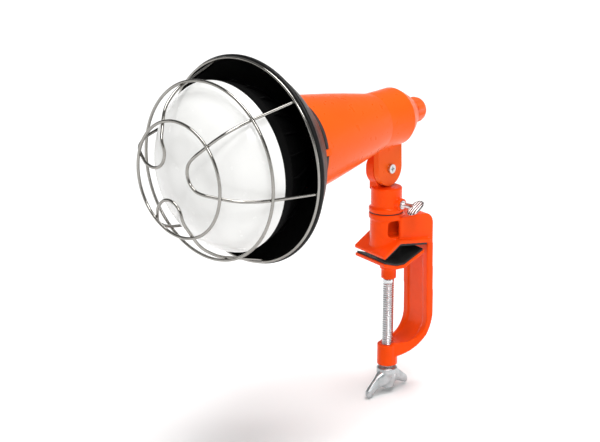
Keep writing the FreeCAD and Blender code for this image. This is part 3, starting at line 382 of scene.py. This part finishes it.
def fuller(value, power):
    """A sine or cosine raised to a power below 1, which makes an ellipse's corners fuller."""
    return math.copysign(abs(value) ** power, value)


# ---------------------------------------------------------------- threaded rods


GROOVE_STEEPNESS = 2.6


def thread_groove(height, share, pitch):
    """Depth of a right-hand groove, 0 to 1, at a height and a share of a turn."""
    phase = (height / pitch - share) % 1
    return max(0, 1 - abs(phase - 0.5) * GROOVE_STEEPNESS)


def threaded_rings(radius, depth, pitch, bottom, top, sides, rows):
    """Rings of a threaded rod, rows to a pitch, with the thread fading out at both ends."""
    rings = []
    count = round((top - bottom) / pitch * rows)
    for row in range(count + 1):
        height = bottom + (top - bottom) * row / count
        fade = min(1, (height - bottom) / pitch, (top - height) / pitch)
        ring = []
        for step in range(sides):
            share = step / sides
            here = radius - thread_groove(height, share, pitch) * depth * fade
            ring.append(Vector((here * math.cos(math.tau * share),
                                here * math.sin(math.tau * share), height)))
        rings.append(ring)
    return rings


# ---------------------------------------------------------------- clamp screw


SCREW_LOW, SCREW_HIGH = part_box("clamp_screw")
SCREW_RADIUS = (SCREW_HIGH.x - SCREW_LOW.x) / 2
SCREW_PITCH = 2.5 * MM
SCREW_THREAD_DEPTH = 1.2 * MM
SCREW_SIDES = 40
SCREW_ROWS = 8
SHOULDER = -31.2 * MM
PLAIN_LENGTH = 3 * MM
NECK_RADIUS = 4 * MM
NECK_CHAMFER = 0.5 * MM
NECK_LENGTH = 19 * MM
THREAD_FROM = 19.5 * MM

# Radius and height of the rings below the thread, then of those above it.
SCREW_FOOT = ((NECK_RADIUS - NECK_CHAMFER, SCREW_LOW.z),
              (NECK_RADIUS, SCREW_LOW.z + NECK_CHAMFER),
              (NECK_RADIUS, SCREW_LOW.z + NECK_LENGTH))
SCREW_TIP = ((SCREW_RADIUS - 0.1 * MM, SHOULDER - 0.8 * MM),
             (SCREW_RADIUS - 0.9 * MM, SHOULDER),
             (NECK_RADIUS, SHOULDER),
             (NECK_RADIUS, SCREW_HIGH.z))


def build_screw(shell):
    """The clamp screw with its thread, upright on the Z axis."""
    thread = threaded_rings(SCREW_RADIUS, SCREW_THREAD_DEPTH, SCREW_PITCH,
                            SCREW_LOW.z + THREAD_FROM, SHOULDER - PLAIN_LENGTH,
                            SCREW_SIDES, SCREW_ROWS)
    foot = [circle_points(radius, height, SCREW_SIDES) for radius, height in SCREW_FOOT]
    tip = [circle_points(radius, height, SCREW_SIDES) for radius, height in SCREW_TIP]
    ring_surface(shell, foot + thread + tip)


ON_SCREW = Matrix.Translation((SCREW_AT.x, SCREW_AT.y, 0))
new_piece("clamp_screw_threaded", mesh_of(build_screw, "screw", ON_SCREW), "clamp_screw",
          "screw_steel", "clamp_screw")


# ---------------------------------------------------------------- wing handle


HUB_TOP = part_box("wing_handle")[1].z
HUB_SIDES = 36
WING_TURN = math.radians(103)
WING_SIDES = 48
WING_POWER = 0.75
HANDLE_VOXEL = 0.4 * MM
HANDLE_RELAX = 4

# Radius and height below the hub's top, in millimetres, from the top down.
HUB_PROFILE = ((9.2, 0), (11.2, -1.2), (11.3, -6), (10.2, -12), (8.6, -18), (7.9, -22.5),
               (6, -23.4))

# Distance from the axis, height of the middle, half height and half thickness, in millimetres.
WING_STATIONS = ((0, -11.5, 9.5, 8.5), (6, -11.5, 9.5, 8), (12, -12.5, 8.2, 5.6),
                 (18, -15.2, 6.8, 3.6), (24, -19, 6.0, 3.1), (29, -22.2, 5.2, 3.2),
                 (32, -23.6, 3.8, 2.7), (33, -24, 2.2, 1.6))


def wing_ring(side, reach, middle, half_height, half_thick):
    """One upright section of a wing."""
    return [Vector((side * reach,
                    fuller(math.cos(turn), WING_POWER) * half_thick,
                    middle + fuller(math.sin(turn), WING_POWER) * half_height)) * MM
            for turn in turns_of(WING_SIDES)]


def build_handle(shell):
    """The hub and two wings that droop and thin away from it, as closed shells that overlap."""
    ring_surface(shell, [circle_points(radius * MM, height * MM, HUB_SIDES)
                         for radius, height in reversed(HUB_PROFILE)])
    for side in (-1, 1):
        ring_surface(shell, [wing_ring(side, *station) for station in WING_STATIONS])


ON_HANDLE = (Matrix.Translation((SCREW_AT.x, SCREW_AT.y, HUB_TOP))
             @ Matrix.Rotation(WING_TURN, 4, "Z"))
handle_mesh = skinned(mesh_of(build_handle, "handle", ON_HANDLE), HANDLE_VOXEL, HANDLE_RELAX)
new_piece("wing_handle_cast", handle_mesh, "clamp_screw", "handle_zinc", "wing_handle")


# ---------------------------------------------------------------- thumb screw


PADDLE_TURN = math.radians(28)
PADDLE_CENTRE = 39 * MM
PADDLE_HALF_LENGTH = 11.2 * MM
PADDLE_HALF_WIDTH = 6.8 * MM
PADDLE_HALF_THICK = 2.1 * MM
PADDLE_RINGS = 30
PADDLE_SIDES = 96
PADDLE_POWER = 0.85
PADDLE_EDGE_POWER = 5
WELD_DISTANCE = 0.01 * MM
RIB_COUNT = 5
# How sharply the painted shade between the ribs falls off towards the crests, and how far across the paddle it
# reaches.
VALLEY_SHADE_POWER = 3
VALLEY_SHADE_REACH = 0.97

SHANK_RADIUS = 3 * MM
SHANK_THREAD_DEPTH = 0.5 * MM
SHANK_PITCH = 1 * MM
SHANK_THREAD_FROM = 13 * MM
SHANK_THREAD_TO = 27 * MM
SHANK_SIDES = 28
SHANK_ROWS = 6

# Radius and height along the screw, in millimetres, of the rings before and after the thread.
SHANK_START = ((2.4, 12.6),)
SHANK_END = ((3, 27.5), (3.1, 31), (3.2, 34), (2.6, 37), (1.5, 39))

SLEEVE_BACK = -LEVEL_AHEAD
PADDLE_LONG = SLEEVE_BACK * math.cos(PADDLE_TURN) + UP * math.sin(PADDLE_TURN)
ON_THUMB = frame_matrix(PADDLE_LONG, TILT_AXIS.cross(PADDLE_LONG), TILT_AXIS, LOCK_AT)


def rib_height(across):
    """How far a rib stands proud, from 0 in a valley to 1 on a crest, across the paddle."""
    return abs(math.cos(math.pi * RIB_COUNT * across / 2))


def paddle_point(face, share, turn):
    """A point of the paddle's front or back face, a share of the way from its middle out."""
    along = fuller(math.cos(turn), PADDLE_POWER) * share
    across = fuller(math.sin(turn), PADDLE_POWER) * share
    edge = max(0, 1 - share ** PADDLE_EDGE_POWER) ** 0.5
    height = (0.5 + 0.5 * rib_height(across)) * PADDLE_HALF_THICK * edge
    return Vector((along * PADDLE_HALF_LENGTH, face * height,
                   PADDLE_CENTRE + across * PADDLE_HALF_WIDTH))


def build_paddle(shell):
    """An oval plate with raised ribs along both faces."""
    for face in (1, -1):
        rings = [[paddle_point(face, ring / PADDLE_RINGS, turn) for turn in turns_of(PADDLE_SIDES)]
                 for ring in range(PADDLE_RINGS + 1)]
        ring_surface(shell, rings, close_ends=False)
    bmesh.ops.remove_doubles(shell, verts=shell.verts, dist=WELD_DISTANCE)


def shank_rings(profile):
    """Plain rings of the shank from radii and heights in millimetres."""
    return [circle_points(radius * MM, height * MM, SHANK_SIDES) for radius, height in profile]


def build_thumb(shell):
    """The paddle and the threaded shank that runs into it, along the Z axis."""
    build_paddle(shell)
    thread = threaded_rings(SHANK_RADIUS, SHANK_THREAD_DEPTH, SHANK_PITCH, SHANK_THREAD_FROM,
                            SHANK_THREAD_TO, SHANK_SIDES, SHANK_ROWS)
    ring_surface(shell, shank_rings(SHANK_START) + thread + shank_rings(SHANK_END))


def mark_valley_shade(mesh, matrix):
    """Store how deep each point of the paddle's faces lies between the ribs, as the weight of the painted shade in
    its valleys.
    """
    painted_valley_shade = mesh.attributes.new("painted_valley_shade", "FLOAT", "POINT")
    back = matrix.inverted()
    for vertex in mesh.vertices:
        out = (back @ vertex.co).z
        across = (out - PADDLE_CENTRE) / PADDLE_HALF_WIDTH
        if abs(across) < VALLEY_SHADE_REACH:
            painted_valley_shade.data[vertex.index].value = 1 - rib_height(across) ** VALLEY_SHADE_POWER


thumb_mesh = mesh_of(build_thumb, "thumb", ON_THUMB)
# Weights for the painted shade between the ribs.
mark_valley_shade(thumb_mesh, ON_THUMB)
new_piece("thumb_screw_ribbed", thumb_mesh, "thumb_screw", "thumb_zinc", "thumb_screw")


# ---------------------------------------------------------------- castings


SHARP_ANGLE = math.radians(32)

# CAD node, its body, voxel size in millimetres and rounds of smoothing.
CASTINGS = (("clamp_frame", "clamp", 0.8, 5),
            ("moving_jaw", "moving_jaw", 0.7, 4),
            ("swivel_sleeve", "swivel", 0.6, 4))

for node, body, voxel, relax in CASTINGS:
    casting_mesh = skinned(NODES[node].data.copy(), voxel * MM, relax)
    new_piece(node + "_cast", casting_mesh, body, "clamp_paint", node)

for cad_node in NODES.values():
    cad_node.data.shade_smooth()
    cad_node.data.set_sharp_from_angle(angle=SHARP_ANGLE)


# ---------------------------------------------------------------- floor


FLOOR_LEVEL = cad_box[0][2] - 2 * MM
FLOOR_RADIUS = 6
FLOOR_SIDES = 96
SWEEP_RADIUS = 2
SWEEP_STEPS = 12


def build_floor(shell):
    """A round floor whose edge sweeps up into a low wall."""
    rings = [circle_points(FLOOR_RADIUS, FLOOR_LEVEL, FLOOR_SIDES)]
    for step in range(1, SWEEP_STEPS + 1):
        turn = math.pi / 2 * step / SWEEP_STEPS
        rings.append(circle_points(FLOOR_RADIUS + SWEEP_RADIUS * math.sin(turn),
                                   FLOOR_LEVEL + SWEEP_RADIUS * (1 - math.cos(turn)),
                                   FLOOR_SIDES))
    ring_surface(shell, rings, close_ends=False)
    shell.verts.ensure_lookup_table()
    shell.faces.new(shell.verts[:FLOOR_SIDES])


floor = bpy.data.objects.new("floor", mesh_of(build_floor, "floor"))
bpy.context.scene.collection.objects.link(floor)
floor.data.shade_smooth()
floor.data.materials.append(surface("floor", (0.93, 0.93, 0.93), 0.9, tint=0.01, tint_scale=3))


# ---------------------------------------------------------------- lights


SKY_STRENGTH = 0.25
AIM = Vector((0.02, -0.10, 0.05))

# Name, direction it comes from, strength and spread in degrees.
CEILING = ("ceiling", (0.1, 0.0, 1), 3.0, 40)

# Name, place, power in watts, width and height in metres.
SOFTBOXES = (("key", (1.3, -0.8, 1.5), 14, 0.7, 0.5),
             ("side", (1.9, 0.9, 0.5), 3, 0.3, 1.0))


def aimed(obj, direction):
    """Put a light or a camera in the scene, looking in a direction."""
    obj.rotation_euler = direction.to_track_quat("-Z", "Y").to_euler()
    bpy.context.scene.collection.objects.link(obj)


def softbox(name, place, power, width, height):
    """A rectangular light that looks at the lamp."""
    lamp = bpy.data.lights.new(name, "AREA")
    lamp.shape = "RECTANGLE"
    lamp.size = width
    lamp.size_y = height
    lamp.energy = power
    obj = bpy.data.objects.new(name, lamp)
    obj.location = place
    aimed(obj, AIM - Vector(place))


def soft_sun(name, source, strength, spread):
    """A wide, soft light from far away."""
    lamp = bpy.data.lights.new(name, "SUN")
    lamp.energy = strength
    lamp.angle = math.radians(spread)
    aimed(bpy.data.objects.new(name, lamp), -Vector(source))


world = bpy.data.worlds.new("studio")
world.use_nodes = True
sky = world.node_tree.nodes["Background"]
sky.inputs["Color"].default_value = (1, 1, 1, 1)
sky.inputs["Strength"].default_value = SKY_STRENGTH
bpy.context.scene.world = world

soft_sun(*CEILING)
for box in SOFTBOXES:
    softbox(*box)


# ---------------------------------------------------------------- camera


EYE = Vector((1.2112, -0.9100, 0.4745))
HEADING = Vector((-0.8339, 0.5519, 0)).normalized()
PITCH = math.radians(16.3)
SENSOR_WIDTH = 36
FOCAL_LENGTH = 90
NEAREST = 0.05

lens = bpy.data.cameras.new("camera")
lens.sensor_width = SENSOR_WIDTH
lens.lens = FOCAL_LENGTH
lens.clip_start = NEAREST
camera = bpy.data.objects.new("camera", lens)
camera.location = EYE
aimed(camera, HEADING * math.cos(PITCH) - UP * math.sin(PITCH))
bpy.context.scene.camera = camera
bpy.context.scene.view_settings.view_transform = "Standard"
